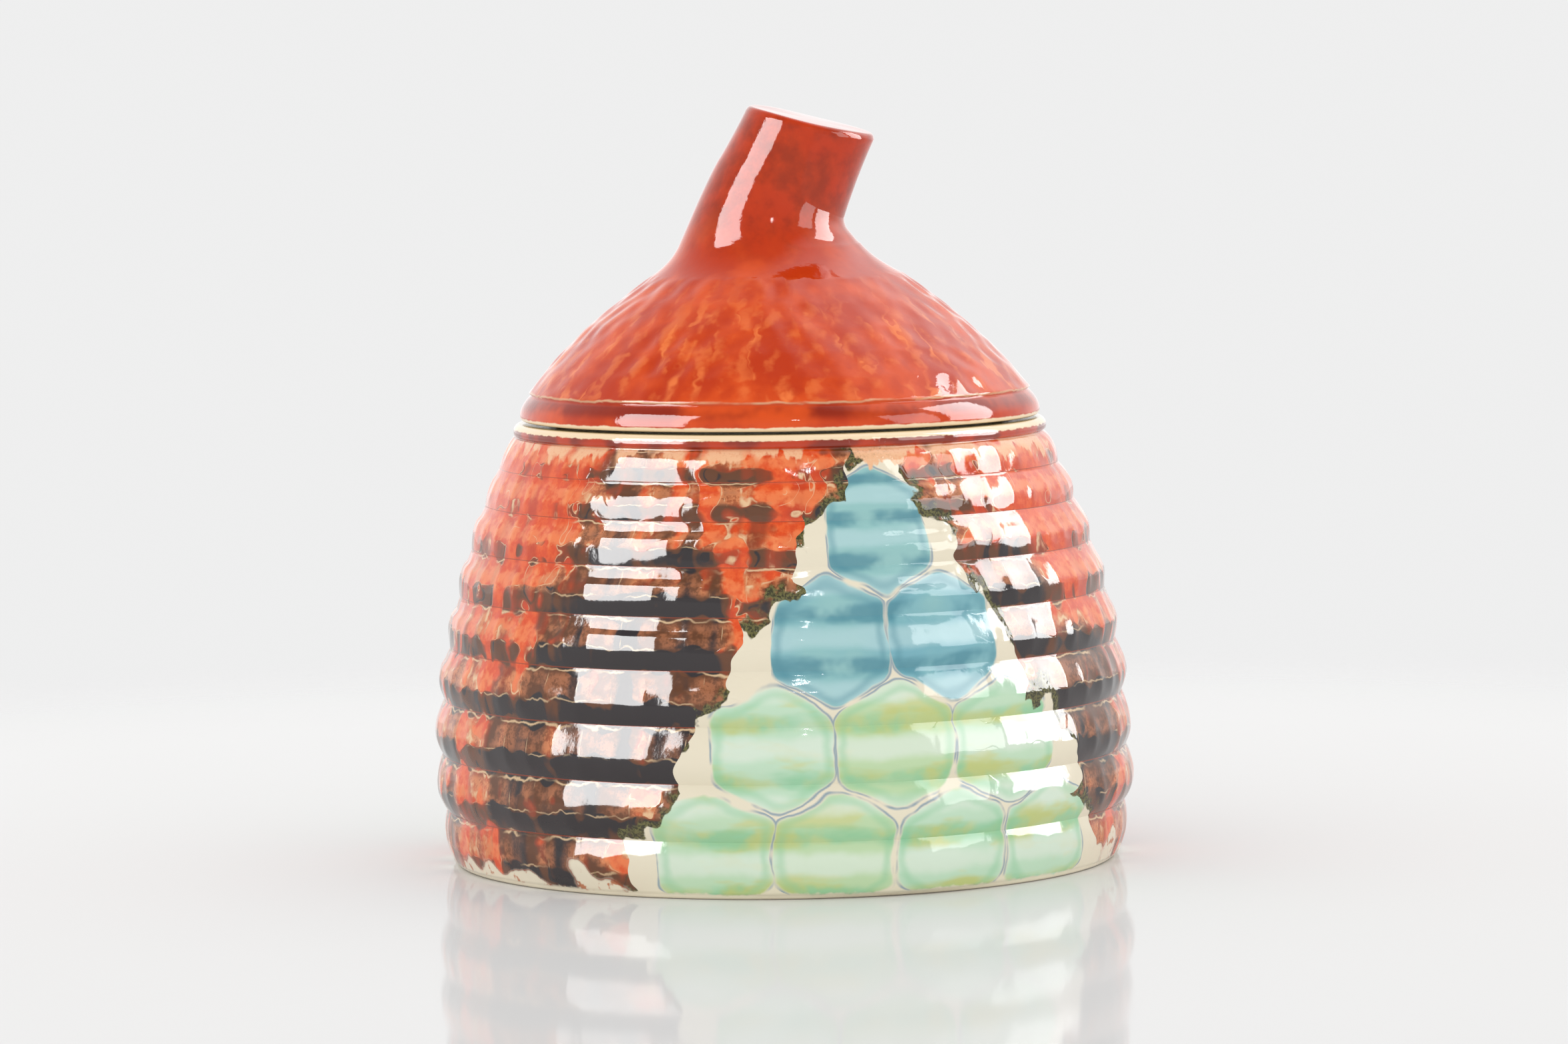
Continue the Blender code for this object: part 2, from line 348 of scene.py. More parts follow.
def pot_rows():
    """The pot from the middle of its underside, up the outside, over the rim and down the inside."""
    foot_inner = FOOT_RADIUS - FOOT_WIDTH
    centre = (POT_INNER_RING, FOOT_RECESS)
    recess = (foot_inner - FOOT_RECESS, FOOT_RECESS)
    rows = rows_from([centre] + line(centre, recess, 12), INSIDE)
    rows += rows_from(line(recess, (foot_inner, 0.0), 4), BISCUIT)
    rows += rows_from(line((foot_inner, 0.0), (FOOT_RADIUS - FOOT_ROUND, 0.0), 5), BISCUIT)
    rows += rows_from(arc((FOOT_RADIUS - FOOT_ROUND, FOOT_ROUND), FOOT_ROUND, -90, 0, 5)[1:], OUTSIDE)
    edges = rib_edges()
    for rib, (lower, upper) in enumerate(zip(edges, edges[1:])):
        for i in range(RIB_STEPS):
            share = i / RIB_STEPS
            height = lower + (upper - lower) * share
            if height > FOOT_ROUND:
                rows.append(Row(rib_radius(height, rib, share), height, OUTSIDE, rib, share))
    groove, collar_foot = SHOULDER_RADIUS - COLLAR_GROOVE, shoulder_height + COLLAR_FOOT
    rim_outer, collar_top = SHOULDER_RADIUS - RIM_ROUND, POT_HEIGHT - RIM_ROUND
    rim_inner = mouth_radius + MOUTH_ROUND
    rows += rows_from([(groove, shoulder_height)], OUTSIDE)
    rows += rows_from(arc((groove, collar_foot), COLLAR_GROOVE, -70, 0, 4), OUTSIDE)
    rows += rows_from(line((SHOULDER_RADIUS, collar_foot), (SHOULDER_RADIUS, collar_top), 2), OUTSIDE)
    rows += rows_from(arc((rim_outer, collar_top), RIM_ROUND, 0, 90, 6)[1:], OUTSIDE)
    rows += rows_from(line((rim_outer, POT_HEIGHT), (rim_inner, POT_HEIGHT), 6), OUTSIDE)
    rows += rows_from(arc((rim_inner, POT_HEIGHT - MOUTH_ROUND), MOUTH_ROUND, 90, 180, 5)[1:], INSIDE)
    floor = FOOT_RECESS + POT_FLOOR
    inner = POT_WALL + RIB_DEPTH
    corner_height = floor + INNER_CORNER
    for height in np.linspace(shoulder_height, corner_height, 40):
        rows.append(Row(skep_radius(height) - inner, height, INSIDE))
    corner = skep_radius(corner_height) - inner - INNER_CORNER
    rows += rows_from(arc((corner, corner_height), INNER_CORNER, 0, -90, 12)[1:], INSIDE)
    rows += rows_from(line((corner, floor), (POT_INNER_RING, floor), 16), INSIDE)
    return rows


def shelf_bend(away):
    """The step from the crest of a rib down to the flatter shelf above it, from 0 to 1."""
    return smooth((away - SHELF_START) / SHELF_LENGTH)


def painted_side(angle, height):
    """1 under the painted cells, where the glaze lies smoother, and 0 away from them."""
    turned = np.cos(angle - math.radians(PYRAMID_TURN))[None, :]
    narrowed = PAINTED_NARROWING * np.clip(height / PAINTED_HEIGHT, 0, 1)
    reach = np.cos(np.radians(PAINTED_HALF_WIDTH - narrowed))
    return np.clip((turned - reach) / 0.08 + 0.5, 0, 1)


def shelf_free_side(angle):
    """1 on the right of the front, where the ribs have no shelf, and 0 on the left."""
    return smooth((np.sin(angle) + 0.05) / 0.45)


def rib_radius(height, rib, share):
    """The rib's section: an undercut below the crest, and above it a bulge or a step and a shelf."""
    depth = GLAZED_DEPTHS[rib] * MM
    crest, shelf = RIB_CRESTS[rib], RIB_SHELVES[rib]
    if share < crest:
        depth = FOOT_DRAW_IN if rib == 0 else depth
        return skep_radius(height) - depth * (1 - share / crest) ** (2 - 0.75 * shelf)
    away = (share - crest) / (1 - crest)
    stepped = 0.5 * away ** 1.3 + 0.5 * shelf_bend(away)
    return skep_radius(height) - depth * ((1 - shelf) * away ** 2 + shelf * stepped)


def cone_rows():
    """The outside of the lid from its lower edge up to the root of the stalk."""
    edge_middle = (lid_radius - LID_EDGE_ROUND, LID_EDGE_ROUND)
    rows = rows_from(arc(edge_middle, LID_EDGE_ROUND, -90, 0, 5), OUTSIDE)
    band_top_radius = lid_radius - BAND_DRAW_IN
    for share in np.linspace(0, 1, 13)[1:]:
        height = LID_EDGE_ROUND + (BAND_HEIGHT - LID_EDGE_ROUND) * share
        rows.append(Row(lid_radius - BAND_DRAW_IN * share ** 2, height, OUTSIDE))
    steps = 72
    for i in range(steps + 1):
        share = i / steps
        straight = (band_top_radius + THATCH_STEP) * (1 - share) + CONE_TOP_RADIUS * share
        radius = straight + 4 * CONE_BULGE * share * (1 - share)
        height = BAND_HEIGHT + THATCH_STEP + (CONE_HEIGHT - THATCH_STEP) * share
        course = min(int(share * THATCH_COURSES), THATCH_COURSES - 1)
        rows.append(Row(radius, height, OUTSIDE, course, share * THATCH_COURSES - course))
    return rows


def stalk_rows():
    """The flare and the bend of the stalk, each section square to it."""
    root = BAND_HEIGHT + CONE_HEIGHT
    flare = CONE_TOP_RADIUS - STALK_RADIUS
    rows = []
    for share in np.linspace(0, 1, 19)[1:]:
        run = STALK_ROOT_HEIGHT * share
        radius = STALK_RADIUS + flare * math.exp(-run / STALK_FLARE_LENGTH)
        rows.append(Row(radius, root + run, OUTSIDE, shift=STALK_ROOT_SHIFT * share))
    for share in np.linspace(0, 1, 25)[1:]:
        tilt = STALK_LEAN * share
        run = STALK_ROOT_HEIGHT + STALK_BEND_RADIUS * tilt
        radius = STALK_RADIUS + flare * math.exp(-run / STALK_FLARE_LENGTH)
        height = root + STALK_ROOT_HEIGHT + STALK_BEND_RADIUS * math.sin(tilt)
        shift = STALK_ROOT_SHIFT + STALK_BEND_RADIUS * (1 - math.cos(tilt))
        rows.append(Row(radius, height, OUTSIDE, shift=shift, tilt=tilt))
    return rows


def stalk_end_rows(radius, length, steps, slot):
    """The straight end of the stalk with its slanting cut."""
    start = stalk_rows()[-1]
    bend_run = STALK_ROOT_HEIGHT + STALK_BEND_RADIUS * STALK_LEAN
    rows = []
    for share in np.linspace(0, 1, steps + 1)[1:]:
        run = length * share
        tilt = STALK_LEAN + (STALK_CUT_SLOPE - STALK_LEAN) * share
        flare = (CONE_TOP_RADIUS - STALK_RADIUS) * math.exp(-(bend_run + run) / STALK_FLARE_LENGTH)
        rows.append(Row(radius + flare, start.height + run * math.cos(STALK_LEAN), slot,
                        shift=start.shift + run * math.sin(STALK_LEAN), tilt=tilt,
                        stretch=1 / math.cos(STALK_LEAN - tilt), lean=math.tan(CUT_TILT) * share))
    return rows


def lid_rows():
    """The lid from the end of its hollow, down the inside, round the flange and up the outside."""
    rows = list(reversed(hollow_rows()))
    floor = FLANGE_ROUND - FLANGE_DEPTH
    inner_edge = (flange_inner_radius + FLANGE_ROUND, floor)
    outer_edge = (flange_radius - FLANGE_ROUND, floor)
    top = rows[-1]
    rows += rows_from(line((top.radius, top.height), (flange_inner_radius, floor), 8), INSIDE)
    rows += rows_from(arc(inner_edge, FLANGE_ROUND, 180, 270, 5)[1:], INSIDE)
    rows += rows_from(arc(outer_edge, FLANGE_ROUND, -90, 0, 5), INSIDE)
    rows += rows_from(line((flange_radius, floor), (flange_radius, 0.0), 4), INSIDE)
    rows += rows_from(line((flange_radius, 0.0), (lid_radius - LID_EDGE_ROUND, 0.0), 6)[:-1], INSIDE)
    rows += cone_rows() + stalk_rows()
    rows += stalk_end_rows(STALK_RADIUS, STALK_STRAIGHT - STALK_EDGE_ROUND, 20, OUTSIDE)
    end = rows[-1]
    edge = arc((STALK_RADIUS - STALK_EDGE_ROUND, 0.0), STALK_EDGE_ROUND, 0, 90, 6)[1:]
    edge += line((STALK_RADIUS - STALK_EDGE_ROUND, STALK_EDGE_ROUND), (LID_INNER_RING, STALK_EDGE_ROUND), 8)
    for radius, rise in edge:
        rows.append(Row(radius, end.height + rise * math.cos(end.tilt), OUTSIDE,
                        shift=end.shift + rise * math.sin(end.tilt), tilt=end.tilt,
                        stretch=end.stretch, lean=end.lean))
    return rows


def hollow_rows():
    """The inside of the cone and stalk, moved in by the wall, from the flange up."""
    outer = [item for item in cone_rows() if item.rib >= 0] + stalk_rows()
    rows = []
    for below, above in zip(outer[::4], outer[4::4]):
        run = above.height - below.height
        draw_in = below.radius - above.radius
        length = math.hypot(run, draw_in)
        radius = below.radius - LID_WALL * run / length
        height = below.height - LID_WALL * draw_in / length
        if radius < flange_inner_radius:
            rows.append(Row(radius, height, INSIDE, shift=below.shift, tilt=below.tilt))
    rows += stalk_end_rows(STALK_RADIUS - LID_WALL, STALK_STRAIGHT - LID_WALL, 4, INSIDE)
    end = rows[-1]
    rows.append(Row(LID_INNER_RING, end.height, INSIDE, shift=end.shift, tilt=end.tilt))
    return rows


def column(rows, key):
    """One value of every row, as a column that spreads round the ring."""
    return np.array([getattr(item, key) for item in rows], dtype=float)[:, None]


def ring_normals(rows):
    """The outward direction of each row in its own plane: (along the radius, along its axis)."""
    radius, height = column(rows, "radius")[:, 0], column(rows, "height")[:, 0]
    shift, tilt = column(rows, "shift")[:, 0], column(rows, "tilt")[:, 0]
    rise = np.gradient(height) * np.cos(tilt) + np.gradient(shift) * np.sin(tilt)
    spread = np.gradient(radius)
    length = np.maximum(np.hypot(rise, spread), 1e-9)
    return (rise / length)[:, None], (-spread / length)[:, None]


def ring_points(rows, angle, push, base_height):
    """The points of all rings, moved out by push, ring after ring."""
    along, up = ring_normals(rows)
    radius = column(rows, "radius") + push * along
    lift = push * up
    tilt, stretch = column(rows, "tilt"), column(rows, "stretch")
    across = radius * stretch * np.sin(angle)[None, :]
    x = across * np.cos(tilt) + lift * np.sin(tilt) + column(rows, "shift")
    y = -radius * np.cos(angle)[None, :]
    z = -across * np.sin(tilt) + lift * np.cos(tilt) + column(rows, "height") + base_height
    z = z + y * column(rows, "lean")
    return np.stack([x, y, z], axis=-1).reshape(-1, 3)


def ring_faces(count, size):
    """Quads between the rings, and a fan at each end round the two points that follow the rings."""
    first = np.arange(size)
    after = (first + 1) % size
    quads = []
    for i in range(count - 1):
        low, high = i * size, (i + 1) * size
        quads.append(np.stack([low + first, low + after, high + after, high + first], axis=-1))
    faces = np.concatenate(quads).tolist()
    bottom, top = count * size, count * size + 1
    last = (count - 1) * size
    faces += [[bottom, int(b), int(a)] for a, b in zip(first, after)]
    faces += [[top, int(last + a), int(last + b)] for a, b in zip(first, after)]
    return faces


def ring_mesh(name, rows, angle, push, base_height, attributes, sharp_rows=()):
    """A closed body through the rows, moved out by push, with the attributes on its points."""
    count, size = len(rows), len(angle)
    points = ring_points(rows, angle, push, base_height)
    ends = np.array([points[:size].mean(axis=0), points[-size:].mean(axis=0)])
    mesh = bpy.data.meshes.new(name)
    mesh.from_pydata(np.concatenate([points, ends]).tolist(), [], ring_faces(count, size))
    slots = [item.slot for item in rows]
    slot_of_face = np.repeat([max(a, b) for a, b in zip(slots, slots[1:])], size)
    slot_of_face = np.concatenate([slot_of_face, np.full(size, slots[0]), np.full(size, slots[-1])])
    mesh.polygons.foreach_set("material_index", slot_of_face.astype(np.int32))
    for key, values in attributes.items():
        flat = np.broadcast_to(values, (count, size)).reshape(-1)
        flat = np.concatenate([flat, [flat[0], flat[-1]]])
        mesh.attributes.new(key, "FLOAT", "POINT").data.foreach_set("value", flat.astype(np.float32))
    mesh.shade_smooth()
    mesh.update()
    ends_of_edges = np.empty(2 * len(mesh.edges), dtype=np.int32)
    mesh.edges.foreach_get("vertices", ends_of_edges)
    row_of_ends = ends_of_edges.reshape(-1, 2) // size
    sharp = (row_of_ends[:, 0] == row_of_ends[:, 1]) & np.isin(row_of_ends[:, 0], sharp_rows)
    mesh.edges.foreach_set("use_edge_sharp", sharp)
    obj = bpy.data.objects.new(name, mesh)
    bpy.context.scene.collection.objects.link(obj)
    return obj


def on_slot(rows, slot):
    """1 on the rows of one slot and 0 on the others."""
    return np.array([item.slot == slot for item in rows], dtype=float)[:, None]


def stitches(angle, rows, pitch, seed):
    """Phase of the upright straw ridges that cross each rib or course, in turns."""
    result = np.zeros((len(rows), len(angle)))
    start_radius = {}
    for i, item in enumerate(rows):
        rib = item.rib
        if rib < 0:
            continue
        radius = start_radius.setdefault(rib, item.radius)
        count = round(math.tau * radius / pitch)
        drift = STITCH_DRIFT * wave(angle, seed + rib, terms=9, lowest=4)
        lean = STITCH_LEAN * (item.share - 0.5) * wave(angle, seed + 50 + rib, terms=4)
        result[i] = count * angle / math.tau + drift + lean + STITCH_OFFSET * rib
    return result


def nearness(turns, width):
    """1 on a whole turn, falling off on both sides over the given share of a turn."""
    away = np.abs(turns - np.round(turns))
    return np.exp(-(away / width) ** 2)


def make_pot():
    """The ribbed casting with its straw relief."""
    rows = pot_rows()
    angle = np.linspace(0, math.tau, POT_SEGMENTS, endpoint=False)
    rib, share, height = column(rows, "rib"), column(rows, "share"), column(rows, "height")
    on_rib = (rib >= 0).astype(float)
    turns = stitches(angle, rows, STITCH_PITCH, seed=11)
    stitch = nearness(turns, STITCH_WIDTH) * on_rib
    crest = np.sin(math.pi * np.clip(share, 0, 1)) * on_rib
    strength = 0.9 + 0.5 * wave(angle, seed=5, terms=5)[None, :]
    strength = strength * (1 - PAINTED_SMOOTHING * painted_side(angle, height))
    push = strength * (STITCH_HEIGHT * stitch + ROPE_HEIGHT * np.cos(math.tau * turns)) * crest
    crests, shelves = np.array(RIB_CRESTS)[rib.astype(int)], np.array(RIB_SHELVES)[rib.astype(int)]
    away = np.clip((share - crests) / (1 - crests), 0, 1)
    uneven = np.clip(wave(angle, seed=9, terms=8, lowest=3), -1.2, 1.2)[None, :]
    eased = SHELF_EASED * shelf_free_side(angle)[None, :] - SHELF_VARIATION * uneven
    push = push + eased * shelves * on_rib * (shelf_bend(away) - away)
    fine = ripple(angle, height, seed=23, count=40, lowest=22, highest=64, wavelength=4.0 * MM)
    broad = ripple(angle, height, seed=31, count=14, lowest=2, highest=8, wavelength=22.0 * MM)
    push = push + RIPPLE * fine * on_rib + BODY_WOBBLE * broad * on_rib
    for i in range(RIB_COUNT):
        wobble = wave(angle, seed=40 + i, terms=10, lowest=3)[None, :]
        push = push + (rib == i) * RIB_WOBBLE * wobble * crest
    wall = np.array([skep_radius(item.height) for item in rows])[:, None]
    far_left = np.clip((-np.sin(angle) - 0.70) / 0.22, 0, 1)[None, :]
    upper = np.clip(rib / 4 - 0.75, 0, 1) * on_rib
    push = push + TOP_LEFT_FILL * (wall - column(rows, "radius")) * upper * far_left
    turn = math.tau * share
    grooves = [i for i, item in enumerate(rows) if item.rib > 0 and item.share == 0]
    attributes = {"rib_cos": np.cos(turn) * on_rib, "rib_sin": np.sin(turn) * on_rib,
                  "stitch": stitch, "on_rib": on_rib}
    return ring_mesh("glazed_pot", rows, angle, push, 0.0, attributes, grooves)


def make_lid():
    """The lid's casting with its courses of short straw dents."""
    rows = lid_rows()
    angle = np.linspace(0, math.tau, LID_SEGMENTS, endpoint=False)
    course, share, height = column(rows, "rib"), column(rows, "share"), column(rows, "height")
    on_thatch = (course >= 0).astype(float)
    outside = on_slot(rows, OUTSIDE)
    turns = stitches(angle, rows, THATCH_PITCH, seed=71)
    window = np.sin(math.pi * np.clip(share, 0, 1)) * on_thatch
    straw = np.cos(math.tau * turns) * window
    patchy = ripple(angle, height, seed=17, count=12, lowest=2, highest=7, wavelength=12.0 * MM)
    uneven = 0.55 + 0.65 * patchy
    uneven = uneven * np.where(course == 0, LOW_COURSE_SHARE, 1.0)
    push = THATCH_DEPTH * (uneven * straw - 0.35 * window)
    fine = ripple(angle, height, seed=29, count=40, lowest=12, highest=44, wavelength=4.0 * MM)
    push = push + THATCH_RIPPLE * fine * on_thatch
    flat = np.clip(column(rows, "radius") / STALK_RADIUS, 0, 1) ** 2
    broad = ripple(angle, height, seed=37, count=14, lowest=1, highest=4, wavelength=9.0 * MM)
    push = push + STALK_RIPPLE * broad * outside * flat
    bend = np.exp(-((height - STALK_SWELL_HEIGHT) / STALK_SWELL_SPREAD) ** 2) * outside
    push = push + STALK_SWELL * bend * np.clip(np.sin(angle), 0, 1)[None, :] ** 2
    return ring_mesh("glazed_lid", rows, angle, push, seat_height, {"straw": straw, "on_thatch": on_thatch})


class Value:
    """An output of a node. Sums, products and steps of it add more nodes."""

    def __init__(self, nodes, socket):
        self.nodes = nodes
        self.socket = socket

    def __add__(self, other):
        return self.nodes.math("ADD", self, other)

    def __radd__(self, other):
        return self.nodes.math("ADD", other, self)

    def __sub__(self, other):
        return self.nodes.math("SUBTRACT", self, other)

    def __rsub__(self, other):
        return self.nodes.math("SUBTRACT", other, self)

    def __mul__(self, other):
        return self.nodes.math("MULTIPLY", self, other)

    def __truediv__(self, other):
        return self.nodes.math("DIVIDE", self, other)

    def __abs__(self):
        return self.nodes.math("ABSOLUTE", self)

    def ramp(self, low, high, to_low=0.0, to_high=1.0, form="LINEAR"):
        """From to_low at low to to_high at high, and level beyond them. Low may be above high."""
        inputs = {"Value": self, "From Min": low, "From Max": high, "To Min": to_low, "To Max": to_high}
        return self.nodes.out("ShaderNodeMapRange", "Result", inputs, interpolation_type=form)

    def step(self, low, high, to_low=0.0, to_high=1.0):
        """A ramp with soft ends."""
        return self.ramp(low, high, to_low, to_high, "SMOOTHSTEP")

    def bell(self, centre, width):
        """1 at the centre, smoothly down to 0 at width away from it."""
        return abs(self - centre).step(0.0, width, 1.0, 0.0)


class Nodes:
    """Short calls that add nodes to one tree."""

    def __init__(self, tree):
        self.tree = tree

    def feed(self, socket, value):
        """Links a socket to a node's output, or sets its value."""
        if isinstance(value, Value):
            self.tree.links.new(value.socket, socket)
        elif value is not None:
            socket.default_value = value

    def out(self, kind, output, inputs=(), **settings):
        """One output of a new node, with its inputs by name or by number."""
        made = self.tree.nodes.new(kind)
        for key, value in settings.items():
            setattr(made, key, value)
        for key, value in dict(inputs).items():
            self.feed(made.inputs[key], value)
        return Value(self, made.outputs[output])

    def math(self, operation, a, b=None, c=None):
        return self.out("ShaderNodeMath", 0, {0: a, 1: b, 2: c}, operation=operation)

    def vector(self, operation, a, b=None, c=None, scale=None):
        output = "Value" if operation in ("DOT_PRODUCT", "LENGTH") else "Vector"
        return self.out("ShaderNodeVectorMath", output, {0: a, 1: b, 2: c, 3: scale}, operation=operation)

    def highest(self, first, *others):
        for other in others:
            first = self.math("MAXIMUM", first, other)
        return first

    def combine(self, x, y, z):
        return self.out("ShaderNodeCombineXYZ", 0, {0: x, 1: y, 2: z})

    def split(self, vector):
        return [self.out("ShaderNodeSeparateXYZ", part, {0: vector}) for part in "XYZ"]

    def mix(self, kind, share, a, b):
        """Data of one kind: a where share is 0 and b where it is 1."""
        first, second, result = MIX_SOCKETS[kind]
        return self.out("ShaderNodeMix", result, {0: share, first: a, second: b}, data_type=kind)

    def blend(self, share, a, b):
        """Colour a where share is 0 and b where it is 1."""
        return self.mix("RGBA", share, a, b)

    def noise(self, place, scale, detail=2.0, roughness=0.5, distortion=0.0):
        inputs = {"Vector": place, "Scale": scale, "Detail": detail, "Roughness": roughness,
                  "Distortion": distortion}
        return self.out("ShaderNodeTexNoise", 0, inputs)


class Shader(Nodes):
    """The nodes of one new material, with its places in millimetres."""

    def __init__(self, name):
        self.material = bpy.data.materials.new(name)
        self.material.use_nodes = True
        super().__init__(self.material.node_tree)
        self.surface = self.tree.nodes["Principled BSDF"]
        self.attributes = {}
        place = self.out("ShaderNodeTexCoord", "Object")
        self.place = self.vector("SCALE", place, scale=1 / MM)
        self.x, self.y, self.z = self.split(self.place)

    def attribute(self, name):
        """A value that the mesh carries on its points."""
        if name not in self.attributes:
            self.attributes[name] = self.out("ShaderNodeAttribute", "Fac", attribute_name=name)
        return self.attributes[name]

    def rib_place(self, place):
        """1 at one share of a rib's height, down to -1 half a rib away from it."""
        cosine, sine = self.attribute("rib_cos"), self.attribute("rib_sin")
        return cosine * math.cos(math.tau * place) + sine * math.sin(math.tau * place)

    def angle(self):
        """Angle round the axis in radians: 0 at the front, rising towards the right."""
        return self.math("ARCTAN2", self.x, self.y * -1.0)

    def around(self, radius, upright, shift=0.0):
        """Place on a cylinder of one radius, so that streaks run straight down the wall."""
        level = self.vector("NORMALIZE", self.combine(self.x, self.y, 0.0))
        lift = self.combine(shift, shift, self.z * upright + shift)
        return self.vector("ADD", self.vector("SCALE", level, scale=radius), lift)

    def finish(self, colour, roughness, height, rise, coat=0.35, ior=GLAZE_IOR):
        """A clear wet glaze over the colour, with a relief of up to rise."""
        bump = self.out("ShaderNodeBump", 0, {"Height": height, "Strength": 1.0, "Distance": rise})
        values = {"Base Color": colour, "Roughness": roughness, "IOR": ior, "Coat Weight": coat,
                  "Coat Roughness": COAT_ROUGHNESS, "Normal": bump, "Coat Normal": bump}
        for name, value in values.items():
            self.feed(self.surface.inputs[name], value)
        return self.material


def paint(red, green, blue):
    """A colour written as it shows, 0 to 255, turned into the linear values that a shader takes."""
    values = []
    for part in (red, green, blue):
        part = part / 255
        values.append(part / 12.92 if part <= 0.04045 else ((part + 0.055) / 1.055) ** 2.4)
    return (*values, 1.0)


ORANGE = paint(226, 76, 22)
ORANGE_BRIGHT = paint(238, 98, 40)
ORANGE_DEEP = paint(196, 58, 18)
ORANGE_PALE = paint(248, 148, 92)
RED_BROWN = paint(140, 46, 28)
RUST = paint(152, 62, 28)
PEACH = paint(246, 190, 146)
TAN = paint(226, 142, 92)
TAN_DEEP = paint(196, 124, 84)
CREAM_LINE = paint(240, 205, 160)
BROWN = paint(104, 62, 36)
BLACK = paint(46, 40, 42)
OLIVE = paint(58, 56, 32)
OLIVE_LIGHT = paint(112, 108, 62)
CREAM = paint(238, 228, 204)
CREAM_EDGE = paint(252, 226, 188)
# tan on the seats of pot and lid: partly a stain, partly painted shade of the gap between them
SEAT_STAIN_AND_SHADE = paint(182, 162, 116)
CREAM_INSIDE = paint(248, 241, 224)
CREAM_POOLED = paint(240, 228, 202)
MINT = paint(198, 228, 200)
MINT_POOL = paint(140, 206, 160)
GREEN = paint(196, 222, 176)
GREEN_POOL = paint(196, 204, 120)
YELLOW_GREEN = paint(210, 212, 142)
PALE_GREEN_AND_SHEEN = paint(226, 238, 222)
TEAL = paint(152, 200, 198)
TEAL_MID = paint(118, 178, 192)
TEAL_DEEP = paint(78, 142, 158)
PALE_BLUE_AND_SHEEN = paint(190, 222, 224)
LINE_BLUE = paint(112, 146, 170)
LID_ORANGE = paint(226, 82, 26)
LID_LIGHT = paint(248, 130, 66)
LID_RED = paint(196, 56, 14)
LID_DARK = paint(134, 34, 14)
CLAY = paint(206, 190, 158)
CLAY_GRAIN = paint(190, 170, 138)
CLAY_STAIN = paint(160, 136, 104)


def dark_patches(s, cloud):
    """How far the dark glaze lies over the orange one: broad patches round the pot."""
    radius = s.math("SQRT", s.x * s.x + s.y * s.y)
    patches = []
    for degrees, width, middle, half, strength in DARK_PATCHES:
        centre = math.radians(degrees)
        facing = s.x * math.sin(centre) - s.y * math.cos(centre)
        turned = 1.0 - facing / radius
        across = turned * (2.0 / math.radians(width) ** 2)
        rise = (s.z - middle) / half
        away = s.math("SQRT", across + rise * rise)
        patches.append((away + (cloud - 0.5) * 0.9).step(*PATCH_EDGE, strength, 0.0))
    return s.highest(*patches)


def honeycomb(s):
    """The pyramids: where their ground ends, then the distance to a cell's edge, whether the cell is
    painted, its row, and its random number."""
    warp = s.noise(s.place, 0.12) - 0.5
    warp_up = s.noise(s.vector("ADD", s.place, (31.0, 0.0, 7.0)), 0.12)
    across = s.angle() * (CELLS_ROUND / math.tau) + CELL_SHIFT + warp * CELL_WARP
    up = (s.z - FIRST_ROW) / CELL_WIDTH
    place = s.combine(across + HALF_CELL, up + (warp_up - 0.5) * CELL_WARP, 0.0)

    # the middles of the cells lie on two lattices of oblongs, one set off from the other
    to_other = (0.5, ROW_STEP, 0.0)
    lattice = ((0.5, ROW_STEP, 1.0), (-0.5, -ROW_STEP, -1.0))
    near = s.vector("WRAP", place, *lattice)
    far = s.vector("WRAP", s.vector("SUBTRACT", place, to_other), *lattice)
    closer = s.math("LESS_THAN", s.vector("LENGTH", near), s.vector("LENGTH", far))
    local = s.mix("VECTOR", closer, far, near)
    middle_x, middle_y, _ = s.split(s.vector("SUBTRACT", place, local))
    size_x, size_y, _ = s.split(s.vector("ABSOLUTE", local))

    # a hexagon with blunt corners
    blunt_x = s.math("SQRT", size_x * size_x + CELL_BLUNTNESS)
    slanting = blunt_x * 0.5 + size_y * ROW_STEP
    reach = s.math("SMOOTH_MAX", size_x, slanting, CELL_CORNER)
    edge = (0.5 - reach) * CELL_WIDTH
    row_index = s.math("ROUND", middle_y * (1 / ROW_STEP))
    column_index = s.math("WRAP", s.math("ROUND", middle_x * 2.0), 2.0 * CELLS_ROUND, 0.0)
    number = s.combine(column_index, row_index, 0.0)
    chance = s.out("ShaderNodeTexWhiteNoise", "Value", {"Vector": number}, noise_dimensions="3D")

    def from_axis(turned):
        half = PYRAMID_CELLS / 2
        return abs(s.math("WRAP", turned, half, -half))

    # each row of a pyramid has one cell fewer than the row below it
    room = row_index * -0.5 + PYRAMID_ROOM
    inside = s.math("LESS_THAN", from_axis(column_index * 0.5 - HALF_CELL), room)
    cell = inside * s.math("GREATER_THAN", row_index, -0.5)
    aside = from_axis(across)
    stair = s.math("ROUND", (aside + warp) * 2.0) * 0.5
    aside = aside * (1 - HULL_STEPS) + stair * HULL_STEPS
    slope = TOP_ROW_HEIGHT - (aside - HULL_MARGIN) * HULL_SLOPE
    hull = s.math("SMOOTH_MIN", slope, HULL_TOP, HULL_ROUND)
    return hull, edge, cell, row_index, chance


